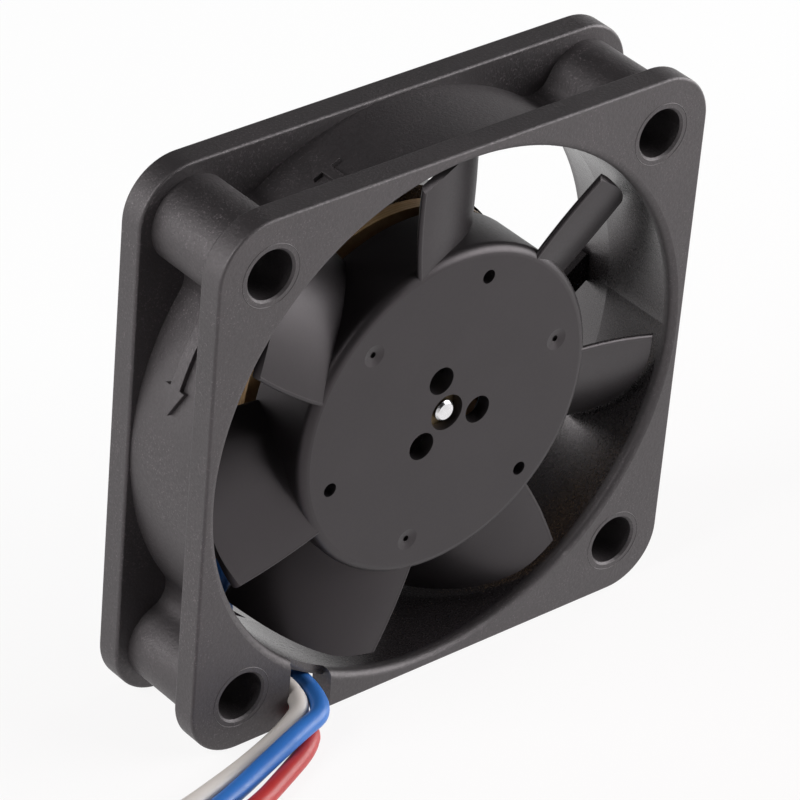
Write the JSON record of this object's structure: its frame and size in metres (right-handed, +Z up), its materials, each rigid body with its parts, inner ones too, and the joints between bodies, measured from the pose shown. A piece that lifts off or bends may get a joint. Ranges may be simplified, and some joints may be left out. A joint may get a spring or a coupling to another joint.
{
  "type": "axial cooling fan",
  "caption": "Small square axial cooling fan, dark moulded frame, seven-blade rotor on a sleeve bearing, with three loose leads.",
  "frame": {"origin": "middle of the frame's footprint, on the surface that the fan stands on", "axes": "+Y along the shaft from the rotor's face to the struts, +X to the right seen from the rotor side, +Z up"},
  "size_m": [0.0855, 0.0237, 0.04],
  "materials": {
    "frame_plastic": "satin moulded, glass filled",
    "rotor_plastic": "semi-gloss moulded",
    "bronze": "porous sintered, oiled",
    "brass": "turned",
    "washer_plastic": "smooth",
    "core_steel": "stamped laminations",
    "bobbin_plastic": "satin moulded",
    "copper_wire": "enamelled wire",
    "tinned_metal": "bright tinned",
    "board_laminate": "paper laminate",
    "component_black": "moulded",
    "component_tan": "ceramic",
    "yoke_steel": "drawn",
    "magnet_ferrite": "bonded ferrite",
    "shaft_steel": "ground",
    "lead_red": "soft insulation",
    "lead_white": "soft insulation",
    "lead_blue": "soft insulation"
  },
  "bodies": {
    "frame": {"housing": "frame_plastic", "sleeve_bearing": "bronze", "retaining_washer": "washer_plastic", "thrust_plate": "washer_plastic", "stator_core": "core_steel", "bobbin_front": "bobbin_plastic", "bobbin_rear": "bobbin_plastic", "winding_1": "copper_wire", "winding_2": "copper_wire", "winding_3": "copper_wire", "winding_4": "copper_wire", "winding_pins": "tinned_metal", "circuit_board": "board_laminate", "hall_sensor": "component_black", "driver_chip": "component_black", "capacitors": "component_tan", "resistors": "component_black", "reverse_diode": "component_black", "solder_joints": "tinned_metal", "lead_red_held": "lead_red", "lead_red_free": "lead_red", "lead_red_coil": "lead_red", "lead_red_end": "tinned_metal", "lead_white_held": "lead_white", "lead_white_free": "lead_white", "lead_white_coil": "lead_white", "lead_white_end": "tinned_metal", "lead_blue_held": "lead_blue", "lead_blue_free": "lead_blue", "lead_blue_coil": "lead_blue", "lead_blue_end": "tinned_metal", "coil_tie": "washer_plastic"},
    "rotor": {"impeller": "rotor_plastic", "rotor_yoke": "yoke_steel", "ring_magnet": "magnet_ferrite", "shaft": "shaft_steel", "shaft_bush": "brass", "slinger_washer": "washer_plastic"}
  },
  "joints": [
    {"name": "rotor_spin", "type": "hinge", "parent": "frame", "child": "rotor", "pos_m": [0, 0, 0.02], "axis": [0, 1, 0], "continuous": true}
  ]
}
